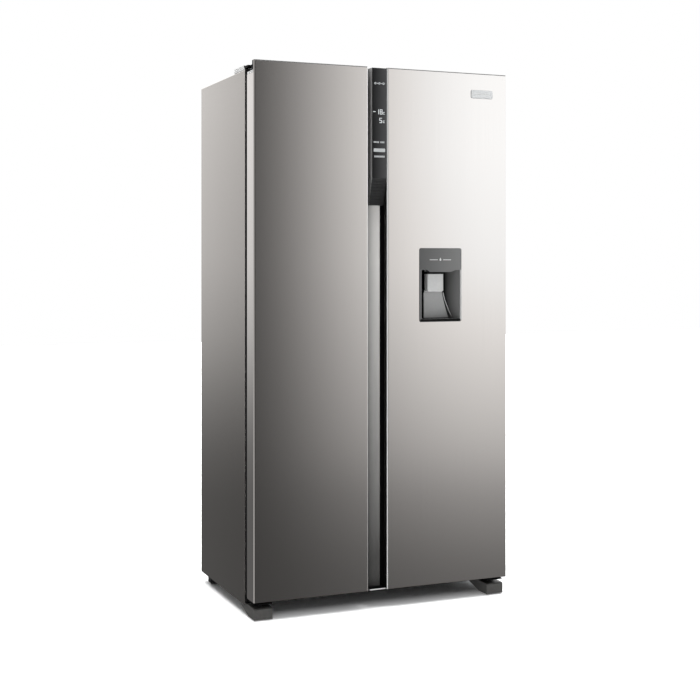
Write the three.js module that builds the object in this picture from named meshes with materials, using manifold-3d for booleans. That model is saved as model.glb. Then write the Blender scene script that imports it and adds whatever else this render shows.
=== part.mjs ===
// A two-door, side by side refrigerator: freezer on the left, fresh food on the right.
// Millimetres, +Z up. X is the width and +Y points to the back of the appliance.
// Inside the model, y = 0 is the front face of the doors; the last lines centre the depth.
import * as THREE from 'three';
import { mergeVertices } from 'three/addons/utils/BufferGeometryUtils.js';
import Module from 'manifold-3d';

const wasm = await Module();
wasm.setup();

// Overall sizes
const WIDTH = 910;
const DEPTH = 643;
const DOOR_TOP = 1786;
const DOOR_BOTTOM = 61;
const CABINET_TOP = 1766;
const CABINET_BOTTOM = 35;
const CABINET_FRONT = 92;
const CABINET_REAR = 602;
const HALF = WIDTH / 2;
const GAP = 0.4;
const SHEET = 1;
const PLASTIC = 2.5;
const INNER_EDGE = HALF - SHEET - 1.5;
const INNER_TOP = CABINET_TOP - SHEET - 1.5;

// Doors
const DOOR_DEPTH = 70;
const EDGE_RADIUS = 5;
const FREEZER_EDGE = -60.6;
const FRIDGE_EDGE = 6.2;
const HINGE_INSET = 18;
const HINGE_X = HALF - HINGE_INSET;
const HINGE_Y = 35;
const HINGE_NOTCH = 115;
const COVER_X = 417;
const COVER_HALF_WIDTH = 26;
const HINGE_NOTCH_DEPTH = 32;
const TOP_LIP = 17;
const LIP_DEPTH = 22;
const FLANGE_FRONT = 50;
const FLANGE_EDGE = -53.5;
const POCKET_REACH = 26;
const CAP_FRONT = 1.4;
const CAP_REAR = DOOR_DEPTH - 3.4;
const CAP_BOTTOM = 1730;
const SIDE_SHEET_TOP = 1746;
const BASE_CAP_HEIGHT = 13;
const CHANNEL_TOP = 1729;
const PIN_RADIUS = 5;
const PIN_HOLE_RADIUS = 6.5;

// Compartments, as inner wall positions
const FREEZER_LEFT = -400;
const FREEZER_RIGHT = -92;
const FRIDGE_LEFT = -22;
const FRIDGE_RIGHT = 405;
const FLOOR = 110;
const CEILING = 1715;
const LINER_REAR = 540;
const HUMP_FRONT = 395;
const HUMP_TOP = 345;
const SHELF_FRONT = 192;
const DRAWER_FRONT = 190;
const GASKET_WIDTH = 20;
const GASKET_BOTTOM = 84;
const GASKET_TOP = 1741;
const DYKE_DEPTH = 42;
const DYKE_WALL = 16;
const BIN_DEPTH = 92;
const ROLLER_X = 425;
const ROLLER_Y = 540;
const ROLLER_RADIUS = 15;
const ROLLER_HALF_WIDTH = 12;
const FOOT_X = 418;
const FOOT_Y = 48;

// Machine compartment behind the bottom of the cabinet
const TRAY_TOP = 46;
const MACHINE_ROOF = 289;
const BACK_SHEET = 598;
const MACHINE_COVER = 599.5;

// Display, dispenser and badge on the doors
const DISPLAY = { left: -47.4, right: 5.4, bottom: 1332, ramp: 1420, top: 1783.5, rampDepth: 27 };
const DISPENSER = { left: 124, right: 282, bottom: 943, header: 1117, top: 1190, depth: 61, radius: 7 };
const NOZZLE = { left: 162, right: 220, bottom: 1044 };
const PADDLE = { left: 160, right: 228, y: 42, z: 1046, height: 91, flare: 24 };
const BADGE = { x: 360, z: 1715, width: 82, height: 27, thick: 2.2 };
const REACH = DEPTH - BADGE.thick;

// Colours
const STEEL = { color: 0xb9b6b1, roughness: 0.35, metalness: 1 };
const PAINT = { color: 0xa9a8a6, roughness: 0.45, metalness: 0.6 };
const ZINC = { color: 0xa8adb0, roughness: 0.5, metalness: 0.9 };
const BLACK = { color: 0x161617, roughness: 0.5, metalness: 0 };
const GLOSS_BLACK = { color: 0x0c0c0d, roughness: 0.1, metalness: 0 };
const DARK_GREY = { color: 0x454647, roughness: 0.5, metalness: 0 };
const LIGHT_GREY = { color: 0xc9cacb, roughness: 0.5, metalness: 0 };
const WHITE = { color: 0xf1f2f2, roughness: 0.35, metalness: 0 };
const CLEAR = { color: 0xdbe6ea, roughness: 0.1, metalness: 0, transparent: true, opacity: 0.4 };
const RUBBER = { color: 0x3a3a3b, roughness: 0.8, metalness: 0 };

// ---- Shape helpers -------------------------------------------------------------------

function toSolid(geometry) {
  let bare = geometry.index ? geometry.toNonIndexed() : geometry.clone();
  bare.deleteAttribute('normal');
  bare.deleteAttribute('uv');
  bare = mergeVertices(bare, 1e-3);
  const vertProperties = new Float32Array(bare.attributes.position.array);
  const triVerts = new Uint32Array(bare.index.array);
  return new wasm.Manifold(new wasm.Mesh({ numProp: 3, vertProperties, triVerts }));
}

function toGeometry(solid) {
  const mesh = solid.getMesh();
  const geometry = new THREE.BufferGeometry();
  geometry.setAttribute('position', new THREE.BufferAttribute(mesh.vertProperties, 3));
  geometry.setIndex(new THREE.BufferAttribute(mesh.triVerts, 1));
  geometry.computeVertexNormals();
  return geometry;
}

function box(x0, x1, y0, y1, z0, z1) {
  const geometry = new THREE.BoxGeometry(x1 - x0, y1 - y0, z1 - z0);
  geometry.translate((x0 + x1) / 2, (y0 + y1) / 2, (z0 + z1) / 2);
  return toSolid(geometry);
}

// Extrudes an outline along one axis. The outline's points are [x, y] for z, [y, z] for x
// and [z, x] for y.
function prism(shape, axis, from, to) {
  const isList = Array.isArray(shape);
  const fromList = (list) => new THREE.Shape(list.map(([a, b]) => new THREE.Vector2(a, b)));
  const outline = isList ? fromList(shape) : shape;
  const geometry = new THREE.ExtrudeGeometry(outline, {
    depth: to - from,
    bevelEnabled: false,
    curveSegments: 5,
  });
  geometry.translate(0, 0, from);
  const turn = new THREE.Matrix4();
  if (axis === 'x') turn.set(0, 0, 1, 0, 1, 0, 0, 0, 0, 1, 0, 0, 0, 0, 0, 1);
  if (axis === 'y') turn.set(0, 1, 0, 0, 0, 0, 1, 0, 1, 0, 0, 0, 0, 0, 0, 1);
  geometry.applyMatrix4(turn);
  return toSolid(geometry);
}

function roundedRect(a0, a1, b0, b1, radius) {
  const shape = new THREE.Shape();
  shape.moveTo(a0 + radius, b0);
  shape.lineTo(a1 - radius, b0);
  shape.absarc(a1 - radius, b0 + radius, radius, -Math.PI / 2, 0);
  shape.lineTo(a1, b1 - radius);
  shape.absarc(a1 - radius, b1 - radius, radius, 0, Math.PI / 2);
  shape.lineTo(a0 + radius, b1);
  shape.absarc(a0 + radius, b1 - radius, radius, Math.PI / 2, Math.PI);
  shape.lineTo(a0, b0 + radius);
  shape.absarc(a0 + radius, b0 + radius, radius, Math.PI, Math.PI * 1.5);
  return shape;
}

function rod(axis, radius, from, to, a, b, sides = 24) {
  const geometry = new THREE.CylinderGeometry(radius, radius, to - from, sides);
  const middle = (from + to) / 2;
  if (axis === 'x') {
    geometry.rotateZ(Math.PI / 2);
    geometry.translate(middle, a, b);
  } else if (axis === 'z') {
    geometry.rotateX(Math.PI / 2);
    geometry.translate(a, b, middle);
  } else {
    geometry.translate(a, middle, b);
  }
  return toSolid(geometry);
}

function union(...solids) {
  return solids.reduce((sum, next) => sum.add(next));
}

function cut(solid, ...tools) {
  return tools.reduce((rest, tool) => rest.subtract(tool), solid);
}

function part(name, solid, look, place = [0, 0, 0]) {
  const mesh = new THREE.Mesh(toGeometry(solid), new THREE.MeshStandardMaterial(look));
  mesh.name = name;
  mesh.position.set(...place);
  return mesh;
}

const SIDES = [
  { name: 'left', sign: -1 },
  { name: 'right', sign: 1 },
];

// Points on a quarter of an ellipse, from the front at widthways reach to the back.
function hollowWall(x, reach, depth) {
  const points = [];
  const steps = 8;
  for (let step = 0; step <= steps; step += 1) {
    const angle = (step / steps) * (Math.PI / 2);
    points.push([x + reach * Math.cos(angle), depth * Math.sin(angle)]);
  }
  return points;
}

// A box given by its distance from the middle, on the left (-1) or right (1) half.
function sideBox(sign, inner, outer, y0, y1, z0, z1) {
  return sign > 0 ? box(inner, outer, y0, y1, z0, z1) : box(-outer, -inner, y0, y1, z0, z1);
}

// ---- Cabinet -------------------------------------------------------------------------

function cabinetWrapper() {
  const arch = (inset, bottom) => {
    const radius = Math.max(4 - inset, 1);
    const side = HALF - inset;
    const top = CABINET_TOP - inset;
    const shape = new THREE.Shape();
    shape.moveTo(bottom, -side);
    shape.lineTo(top - radius, -side);
    shape.absarc(top - radius, -side + radius, radius, -Math.PI / 2, 0);
    shape.lineTo(top, side - radius);
    shape.absarc(top - radius, side - radius, radius, 0, Math.PI / 2);
    shape.lineTo(bottom, side);
    return shape;
  };
  const outside = prism(arch(0, CABINET_BOTTOM), 'y', CABINET_FRONT, CABINET_REAR);
  const inside = prism(arch(SHEET, CABINET_BOTTOM - 1), 'y', CABINET_FRONT - 1, CABINET_REAR + 1);
  return part('cabinet_wrapper', cut(outside, inside), PAINT);
}

function frontFrame() {
  const plate = box(-INNER_EDGE, INNER_EDGE, CABINET_FRONT, CABINET_FRONT + 1.5, 64, INNER_TOP);
  const wall = PLASTIC + GAP;
  const opening = (left, right) => {
    return box(left - wall, right + wall, 80, 100, FLOOR - wall, CEILING + wall);
  };
  const windows = [opening(FREEZER_LEFT, FREEZER_RIGHT), opening(FRIDGE_LEFT, FRIDGE_RIGHT)];
  return part('front_frame', cut(plate, ...windows), PAINT);
}

function chassis() {
  const bend = [
    [CABINET_FRONT + 3, 62],
    [CABINET_FRONT + 3, TRAY_TOP - 2],
    [BACK_SHEET, TRAY_TOP - 2],
    [BACK_SHEET, TRAY_TOP],
    [CABINET_FRONT + 5, TRAY_TOP],
    [CABINET_FRONT + 5, 62],
  ];
  const brackets = SIDES.flatMap(({ sign }) => [
    sideBox(sign, ROLLER_X - 18, ROLLER_X - 14, ROLLER_Y - 16, ROLLER_Y + 16, 8, 45),
    sideBox(sign, ROLLER_X + 14, ROLLER_X + 18, ROLLER_Y - 16, ROLLER_Y + 16, 8, 45),
    rod('x', 3, sign * ROLLER_X - 17, sign * ROLLER_X + 17, ROLLER_Y, ROLLER_RADIUS, 12),
  ]);
  const plate = prism(bend, 'x', -INNER_EDGE, INNER_EDGE);
  return part('chassis_plate', union(plate, ...brackets), ZINC);
}

// One bent sheet closes the back and roofs the machine compartment.
function backPanel() {
  const bend = [
    [424, TRAY_TOP + GAP],
    [426, TRAY_TOP + GAP],
    [452, MACHINE_ROOF],
    [BACK_SHEET + 1, MACHINE_ROOF],
    [BACK_SHEET + 1, INNER_TOP],
    [BACK_SHEET, INNER_TOP],
    [BACK_SHEET, MACHINE_ROOF + 2],
    [450, MACHINE_ROOF + 2],
  ];
  const ribs = [-300, -150, 0, 150, 300].map((x) => {
    return box(x - 12, x + 12, BACK_SHEET + 0.5, BACK_SHEET + 2.5, 340, 1580);
  });
  const sheet = prism(bend, 'x', -INNER_EDGE, INNER_EDGE);
  return part('back_panel', union(sheet, ...ribs), ZINC);
}

function liner(name, left, right, levels) {
  const profile = (inset, front) => [
    [front, FLOOR - inset],
    [HUMP_FRONT + inset * 0.2 - 12, FLOOR - inset],
    [HUMP_FRONT + inset * 0.2, HUMP_TOP - inset],
    [LINER_REAR + inset, HUMP_TOP - inset],
    [LINER_REAR + inset, CEILING + inset],
    [front, CEILING + inset],
  ];
  const outside = prism(profile(PLASTIC, CABINET_FRONT), 'x', left - PLASTIC, right + PLASTIC);
  const inside = prism(profile(0, CABINET_FRONT - 5), 'x', left, right);
  const rail = 9;
  const rails = levels.flatMap((z) => [
    box(left - 1, left + rail, SHELF_FRONT + 14, 380, z - 10, z - GAP),
    box(right - rail, right + 1, SHELF_FRONT + 14, 380, z - 10, z - GAP),
  ]);
  return part(name, union(cut(outside, inside), ...rails), WHITE);
}

function evaporatorCover() {
  const rear = LINER_REAR - GAP;
  const body = box(FREEZER_LEFT + 2, FREEZER_RIGHT - 2, 504, rear, HUMP_TOP + 2, CEILING - 2);
  const slots = [];
  for (const z of [460, 760, 1060, 1360, 1640]) {
    for (const x of [-330, -246, -162]) {
      for (let step = 0; step < 3; step += 1) {
        slots.push(box(x - 28, x + 28, 500, 508, z + step * 12, z + step * 12 + 6));
      }
    }
  }
  return part('evaporator_cover', cut(body, ...slots), WHITE);
}

function airDuct() {
  const middle = (FRIDGE_LEFT + FRIDGE_RIGHT) / 2;
  const plan = roundedRect(middle - 75, middle + 75, 516, LINER_REAR - GAP, 8);
  const body = prism(plan, 'z', HUMP_TOP + 2, CEILING - 2);
  const slots = [];
  for (const z of [600, 870, 1140, 1500]) {
    for (const x of [middle - 40, middle + 40]) {
      for (let step = 0; step < 3; step += 1) {
        slots.push(box(x - 22, x + 22, 512, 520, z + step * 12, z + step * 12 + 6));
      }
    }
  }
  return part('fridge_air_duct', cut(body, ...slots), WHITE);
}

function shelf(name, left, right, z, rear) {
  const width = right - left - 4;
  const depth = rear - SHELF_FRONT;
  const pane = box(0, width, 0, depth, 0, 4.5);
  const front = prism([[-1, -3], [12, -3], [12, 9], [3, 9], [-1, 5]], 'x', 0, width);
  const back = box(0, width, depth - 8, depth, -1, 14);
  return part(name, union(pane, front, back), CLEAR, [left + 2, SHELF_FRONT, z]);
}

// An open tray with a raised front and a finger grip under its front rim.
function drawer(name, left, right, rear, z, height) {
  const width = right - left - 26;
  const depth = rear - DRAWER_FRONT;
  const outer = box(0, width, 6, depth, 0, height - 8);
  const front = box(-4, width + 4, 0, 6.5, 0, height);
  const hollow = box(PLASTIC, width - PLASTIC, 6.5, depth - PLASTIC, PLASTIC, height + 5);
  const middle = width / 2;
  const gripOutline = [
    [-5, height - 14],
    [9, height - 14],
    [9, height - 30],
    [-5, height - 22],
  ];
  const grip = prism(gripOutline, 'x', middle - 70, middle + 70);
  const lip = box(middle - 74, middle + 74, 6, 12, height - 34, height - 8);
  const tray = cut(union(outer, front), hollow);
  return part(name, cut(union(tray, lip), grip), CLEAR, [left + 13, DRAWER_FRONT, z]);
}

// ---- Machine compartment and rear ------------------------------------------------------

function compressor() {
  const points = [
    [0, -72],
    [58, -70],
    [74, -55],
    [78, -4],
    [78, 4],
    [74, 50],
    [55, 74],
    [24, 84],
    [0, 86],
  ];
  const shell = new THREE.LatheGeometry(points.map(([r, z]) => new THREE.Vector2(r, z)), 28);
  shell.rotateX(Math.PI / 2);
  const base = box(-95, 95, -60, 60, -82, -66);
  const pipe = rod('z', 5, 60, 120, 40, 30, 12);
  return part('compressor', union(toSolid(shell), base, pipe), BLACK, [-240, 519.5, 132]);
}

function condenser() {
  const fins = [];
  for (let x = 0; x <= 196; x += 14) fins.push(box(x, x + 1.5, 0, 90, 0, 150));
  const tubes = [];
  for (const z of [25, 75, 125]) tubes.push(rod('x', 4, -8, 206, 45, z, 8));
  return part('condenser', union(...fins, ...tubes), ZINC, [90, 478, 76]);
}

function condenserFan() {
  const blades = [rod('x', 18, 0, 26, 0, 0, 20)];
  for (let step = 0; step < 5; step += 1) {
    const blade = new THREE.BoxGeometry(3, 40, 34);
    blade.rotateZ(0.5);
    blade.translate(13, 0, 33);
    blade.rotateX((step * 2 * Math.PI) / 5);
    blades.push(toSolid(blade));
  }
  return part('condenser_fan', union(...blades), BLACK, [40, 522, 150]);
}

function machineCover() {
  const slots = [];
  for (const start of [-400, 60]) {
    for (let step = 0; step < 14; step += 1) {
      const x = start + step * 24;
      slots.push(box(x, x + 12, 590, 610, 100, 240));
    }
  }
  const inlet = box(-32, 2, 590, 610, 216, 246);
  const sheet = box(-INNER_EDGE, INNER_EDGE, MACHINE_COVER, MACHINE_COVER + 2, 48, 290);
  return part('machine_cover', cut(sheet, ...slots, inlet), ZINC);
}

function powerInlet() {
  const body = box(-31.5, 1.5, 585, 604, 216.5, 245.5);
  const socket = box(-27, -3, 592, 606, 221, 241);
  const places = [
    [-21, 234],
    [-9, 234],
    [-15, 226],
  ];
  const pins = places.map(([x, z]) => box(x - 1, x + 1, 590, 601, z - 2.5, z + 2.5));
  return part('power_inlet', union(cut(body, socket), ...pins), BLACK);
}

function rearSpacer() {
  const foot = CABINET_REAR + 0.4;
  const profile = [
    [foot, 1610],
    [REACH, 1632],
    [REACH, 1668],
    [foot, 1690],
  ];
  const bars = [-330, 330].map((x) => prism(profile, 'x', x - 18, x + 18));
  const rail = box(-348, 348, foot, foot + 3, 1642, 1658);
  return part('rear_spacer', union(rail, ...bars), BLACK);
}

// ---- Feet, rollers and hinges ------------------------------------------------------------

function footCover(side) {
  const profile = [
    [0, 3],
    [0, 36],
    [4, 39],
    [70, 39],
    [126, 33],
    [140, 33],
    [140, 24],
    [60, 3],
  ];
  const outside = prism(profile, 'x', -31, 31);
  const hollow = box(-28, 28, 4, 62, -1, 35);
  const underside = [
    [60, -1],
    [60, 30],
    [122, 30],
    [122, 26],
  ];
  const rear = prism(underside, 'x', -28, 28);
  const front = 15;
  const stemHole = rod('z', 6.5, 30, 45, 0, FOOT_Y - front, 20);
  const body = cut(outside, hollow, rear, stemHole);
  return part(`foot_cover_${side.name}`, body, DARK_GREY, [side.sign * FOOT_X, front, 0]);
}

function levellingFoot(side) {
  const foot = union(rod('z', 19, 0, 9, 0, 0, 28), rod('z', 5, 8, 49.6, 0, 0, 16));
  return part(`levelling_foot_${side.name}`, foot, BLACK, [side.sign * FOOT_X, FOOT_Y, 0]);
}

function bottomHinge(side) {
  const plate = sideBox(side.sign, 388, 448, 18, CABINET_FRONT + 2.5, 50, 54);
  const pad = sideBox(side.sign, 388, 448, CABINET_FRONT + 1, 130, 40, 43.6);
  const drop = sideBox(side.sign, 388, 448, CABINET_FRONT - 1.5, CABINET_FRONT + 2.5, 40, 60);
  const pin = rod('z', PIN_RADIUS, 53, 78, side.sign * HINGE_X, HINGE_Y, 20);
  return part(`bottom_hinge_${side.name}`, union(plate, pad, drop, pin), ZINC);
}

function topHinge(side) {
  const plateTop = CABINET_TOP + 3.4;
  const plate = sideBox(side.sign, 396, 440, 24, 200, CABINET_TOP + GAP, plateTop);
  const screws = [130, 165, 190].map((y) => {
    return rod('z', 5, plateTop - GAP, plateTop + 2.6, side.sign * COVER_X, y, 12);
  });
  const pinBottom = DOOR_TOP - HINGE_NOTCH_DEPTH - 24;
  const pin = rod('z', PIN_RADIUS, pinBottom, CABINET_TOP + 1, side.sign * HINGE_X, HINGE_Y, 20);
  return part(`top_hinge_${side.name}`, union(plate, pin, ...screws), ZINC);
}

// Narrow beside the door's turning corner, and as wide as the cabinet behind it.
function hingeCover(side) {
  const base = CABINET_TOP + GAP;
  const lid = 1778;
  const rear = 214;
  const wall = 2.2;
  const outline = [
    [28, 1770],
    [28, 1782],
    [38, 1782],
    [38, lid],
    [108, lid],
    [108, 1781],
    [rear, 1781],
    [rear, base],
    [100, base],
    [100, 1770],
  ];
  const ahead = 20;
  const turning = 70;
  const below = 1760;
  const above = 1790;
  const inner = COVER_X - COVER_HALF_WIDTH;
  const narrow = COVER_X + COVER_HALF_WIDTH;
  const wide = HALF - 2;
  const body = prism(outline, 'x', inner, wide);
  const clearance = box(narrow, wide + 1, ahead, turning, below, above);
  const hollow = union(
    box(inner + wall, narrow - wall, ahead, turning + wall, below, lid - wall),
    box(inner + wall, wide - wall, turning + wall, rear - wall, below, lid - wall),
  );
  const cover = cut(body, clearance, hollow);
  const placed = side.sign > 0 ? cover : cover.mirror([1, 0, 0]);
  return part(`hinge_cover_${side.name}`, placed, BLACK);
}

function rearRoller(side) {
  const tread = rod('x', ROLLER_RADIUS, -ROLLER_HALF_WIDTH, ROLLER_HALF_WIDTH, 0, 0, 32);
  const bore = rod('x', 3.5, -14, 14, 0, 0, 16);
  const place = [side.sign * ROLLER_X, ROLLER_Y, ROLLER_RADIUS];
  return part(`rear_roller_${side.name}`, cut(tread, bore), DARK_GREY, place);
}

// ---- Doors -------------------------------------------------------------------------------

// A quarter arc between a door's front face and its side at x; direction points inwards.
function frontCorner(x, direction, radius, front) {
  const points = [];
  const steps = 6;
  for (let step = 0; step <= steps; step += 1) {
    const angle = (step / steps) * (Math.PI / 2);
    const away = radius * (1 - Math.sin(angle));
    points.push([x + direction * away, front + radius * (1 - Math.cos(angle))]);
  }
  return points;
}

// Plan outline of sheet metal folded round a door's front and both its side edges.
function foldedSheet(left, right, leftDepth, rightDepth) {
  const inset = EDGE_RADIUS - SHEET;
  return [
    [left, leftDepth],
    ...frontCorner(left, 1, EDGE_RADIUS, 0).reverse(),
    ...frontCorner(right, -1, EDGE_RADIUS, 0),
    [right, rightDepth],
    [right - SHEET, rightDepth],
    ...frontCorner(right - SHEET, -1, inset, SHEET).reverse(),
    ...frontCorner(left + SHEET, 1, inset, SHEET),
    [left + SHEET, leftDepth],
  ];
}

const DOORS = {
  freezer: {
    sign: -1,
    left: -HALF,
    right: FREEZER_EDGE,
    rearLeft: -HALF + SHEET + GAP,
    rearRight: FREEZER_EDGE,
    dykeLeft: FREEZER_LEFT + 8,
    dykeRight: FREEZER_RIGHT - 12,
    gasketLeft: -HINGE_X,
    gasketRight: -66,
    leftDepth: 69,
    rightDepth: 18,
    binLevels: [150, 560, 1000],
  },
  fridge: {
    sign: 1,
    left: FRIDGE_EDGE,
    right: HALF,
    rearLeft: FLANGE_EDGE,
    rearRight: HALF - SHEET - GAP,
    dykeLeft: FRIDGE_LEFT + 12,
    dykeRight: FRIDGE_RIGHT - 8,
    gasketLeft: -48,
    gasketRight: HINGE_X,
    leftDepth: 6,
    rightDepth: 69,
    binLevels: [150, 560, 1450],
  },
};

// The corner of the door that the top hinge sits in; margin grows it.
function hingeNotch(sign, margin) {
  const top = DOOR_TOP - HINGE_NOTCH_DEPTH - margin;
  return sideBox(sign, HALF - HINGE_NOTCH - margin, HALF + 5, TOP_LIP - margin, 80, top, DOOR_TOP + 5);
}

function doorSkin(name, door) {
  const outline = foldedSheet(door.left, door.right, door.leftDepth, door.rightDepth);
  const sheet = prism(outline, 'z', DOOR_BOTTOM + 1.5, DOOR_TOP);
  const cutTop = DOOR_TOP + 5;
  const sideTop = sideBox(door.sign, HALF - 3, HALF + 5, EDGE_RADIUS, 80, SIDE_SHEET_TOP, cutTop);
  const openings = [sideTop];
  if (door.sign > 0) {
    const { left, right, bottom, top, radius } = DISPENSER;
    const window = roundedRect(bottom - GAP, top + GAP, left - GAP, right + GAP, radius);
    openings.push(prism(window, 'y', -5, 10));
  }
  return part(`${name}_door_skin`, cut(sheet, ...openings), STEEL);
}

function topCap(name, door) {
  const wall = PLASTIC;
  const left = door.left + SHEET + GAP;
  const right = door.right - SHEET - GAP;
  const top = DOOR_TOP - 1;
  const plan = roundedRect(left, right, CAP_FRONT, CAP_REAR, EDGE_RADIUS);
  const outer = cut(prism(plan, 'z', CAP_BOTTOM, top), hingeNotch(door.sign, 0));
  const hollow = cut(
    box(left + wall, right - wall, CAP_FRONT + wall, CAP_REAR - wall, CAP_BOTTOM - 5, top - wall),
    hingeNotch(door.sign, wall),
  );
  const front = EDGE_RADIUS + GAP;
  const low = SIDE_SHEET_TOP + GAP;
  const strip = sideBox(door.sign, HALF - 4, HALF, front, TOP_LIP, low, top);
  const ledge = sideBox(door.sign, HALF - 4, HALF, front, CAP_REAR, low, SIDE_SHEET_TOP + 8);
  const pinHole = rod('z', PIN_HOLE_RADIUS, 1740, 1770, door.sign * HINGE_X, HINGE_Y, 24);
  const grip = door.sign > 0 ? box(-60, 34, 5, 50, 1700, 1775) : box(-90, -50, 19, 52, 1700, 1775);
  const body = cut(union(cut(outer, hollow), strip, ledge), pinHole, grip);
  return part(`${name}_door_top_cap`, body, DARK_GREY);
}

// The black finger channel on a door's inner edge, with the bottom cap in one moulding.
function gripTrim(name, door) {
  const edge = door.sign > 0 ? FRIDGE_EDGE : FREEZER_EDGE;
  const out = (x) => edge + door.sign * x;
  const fridge = [
    [out(0), EDGE_RADIUS + 1.6],
    [out(0), LIP_DEPTH],
    [out(POCKET_REACH - 2), LIP_DEPTH + 4],
    [out(POCKET_REACH - 2), FLANGE_FRONT],
    [2.4, FLANGE_FRONT],
    [2.4, FLANGE_FRONT + 2.5],
    [out(POCKET_REACH), FLANGE_FRONT + 2.5],
    [out(POCKET_REACH), LIP_DEPTH + 2],
    [out(2.5), LIP_DEPTH - 2],
    [out(2.5), EDGE_RADIUS + 1.6],
  ];
  const freezer = [
    [out(1.4), 12],
    [out(1.4), 18 + GAP],
    [out(0), 18 + GAP],
    [out(0), 22],
    [out(24), 25],
    [out(24), 46],
    [out(0), 50],
    [out(0), 66.6],
    [out(2.5), 66.6],
    [out(2.5), 52],
    [out(26), 48],
    [out(26), 23],
    [out(3.9), 19],
    [out(3.9), 12],
  ];
  const channel = prism(door.sign > 0 ? fridge : freezer, 'z', DOOR_BOTTOM, CHANNEL_TOP);
  const left = door.left + SHEET + GAP;
  const right = door.right - SHEET - GAP;
  const plan = roundedRect(left, right, CAP_FRONT, CAP_REAR, EDGE_RADIUS);
  const outer = prism(plan, 'z', DOOR_BOTTOM, DOOR_BOTTOM + BASE_CAP_HEIGHT);
  const inset = 2;
  const hollow = box(
    left + inset,
    right - inset,
    CAP_FRONT + inset,
    CAP_REAR - inset,
    DOOR_BOTTOM + 3,
    DOOR_BOTTOM + BASE_CAP_HEIGHT + 1,
  );
  const pinHole = rod('z', PIN_HOLE_RADIUS, 50, 90, door.sign * HINGE_X, HINGE_Y, 24);
  const pieces = [channel, cut(outer, hollow, pinHole)];
  if (door.sign > 0) {
    const rear = FLANGE_FRONT - GAP;
    pieces.push(box(DISPLAY.left, edge + 4, 9, rear, DOOR_BOTTOM, DOOR_BOTTOM + 2.5));
  }
  return part(`${name}_grip_trim`, union(...pieces), BLACK);
}

function doorLiner(name, door) {
  const low = FLOOR + 10;
  const high = CEILING - 10;
  const top = DOOR_TOP - 3;
  const flange = cut(
    box(door.rearLeft, door.rearRight, 67, DOOR_DEPTH, DOOR_BOTTOM + 1, top),
    hingeNotch(door.sign, GAP),
  );
  const { dykeLeft, dykeRight } = door;
  const rise = DOOR_DEPTH + DYKE_DEPTH;
  const raised = box(dykeLeft, dykeRight, 68, rise, low, high);
  const wall = DYKE_WALL;
  const recess = box(dykeLeft + wall, dykeRight - wall, 84, 120, low + wall, high - wall);
  const thin = PLASTIC;
  const thick = wall - thin;
  const hollow = cut(
    box(dykeLeft + thin, dykeRight - thin, 60, rise - thin, low + thin, high - thin),
    box(dykeLeft + thick, dykeRight - thick, 84 - thin, 130, low + thick, high - thick),
  );
  return part(`${name}_door_liner`, cut(union(flange, raised), recess, hollow), WHITE);
}

function gasket(name, door) {
  const frame = (inset, y0, y1) => {
    const left = door.gasketLeft + inset;
    const right = door.gasketRight - inset;
    return box(left, right, y0, y1, GASKET_BOTTOM + inset, GASKET_TOP - inset);
  };
  const ring = (inset, width, y0, y1) => {
    return cut(frame(inset, y0, y1), frame(inset + width, y0 - 1, y1 + 1));
  };
  const front = DOOR_DEPTH + GAP;
  const rear = CABINET_FRONT - GAP;
  const body = union(
    ring(0, GASKET_WIDTH, front, front + 6),
    ring(5, GASKET_WIDTH - 10, front + 5, rear - 6),
    ring(1, GASKET_WIDTH - 2, rear - 7, rear),
  );
  return part(`${name}_door_gasket`, body, RUBBER);
}

function doorBin(name, door, z) {
  const left = door.dykeLeft + DYKE_WALL + 0.6;
  const width = door.dykeRight - door.dykeLeft - 2 * DYKE_WALL - 1.2;
  const height = 92;
  const outer = box(0, width, 0, BIN_DEPTH, 0, height);
  const hollow = box(PLASTIC, width - PLASTIC, PLASTIC, BIN_DEPTH - PLASTIC, PLASTIC, height + 8);
  const rim = box(0, width, BIN_DEPTH - 0.5, BIN_DEPTH + 2, height - 12, height);
  return part(name, union(cut(outer, hollow), rim), CLEAR, [left, 84.6, z]);
}

function waterTank(door) {
  const left = door.dykeLeft + DYKE_WALL + 40;
  const right = door.dykeRight - DYKE_WALL - 60;
  const outer = prism(roundedRect(left, right, 84.6, 160, 10), 'z', 1215, 1400);
  const inner = prism(roundedRect(left + 3, right - 3, 87.6, 157, 8), 'z', 1218, 1396);
  const filler = prism(roundedRect(left + 20, left + 80, 100, 145, 8), 'z', 1390, 1405);
  return part('water_tank', cut(outer, inner, filler), CLEAR);
}

function gripFlange() {
  const outline = [
    [FLANGE_EDGE, 66.6],
    [FLANGE_EDGE, FLANGE_FRONT],
    [2, FLANGE_FRONT],
    [2, 66.6],
    [1, 66.6],
    [1, FLANGE_FRONT + 1],
    [FLANGE_EDGE + 1, FLANGE_FRONT + 1],
    [FLANGE_EDGE + 1, 66.6],
  ];
  return part('grip_flange', prism(outline, 'z', DOOR_BOTTOM + 1, DOOR_TOP - 6), STEEL);
}

function displayModule() {
  const { left, right, bottom, ramp, top, rampDepth } = DISPLAY;
  const profile = [
    [0, ramp],
    [0, top],
    [FLANGE_FRONT - GAP, top],
    [FLANGE_FRONT - GAP, bottom],
    [rampDepth, bottom],
  ];
  const body = prism(profile, 'x', left, right);
  const grooves = [];
  const ribs = 9;
  for (let step = 1; step < ribs; step += 1) {
    const along = step / ribs;
    const y = rampDepth * along;
    const z = ramp + (bottom - ramp) * along;
    grooves.push(box(left - 1, right + 1, y - 6, y + 1.5, z - 1.5, z + 1.5));
  }
  return part('display_module', cut(body, ...grooves), GLOSS_BLACK);
}

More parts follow.
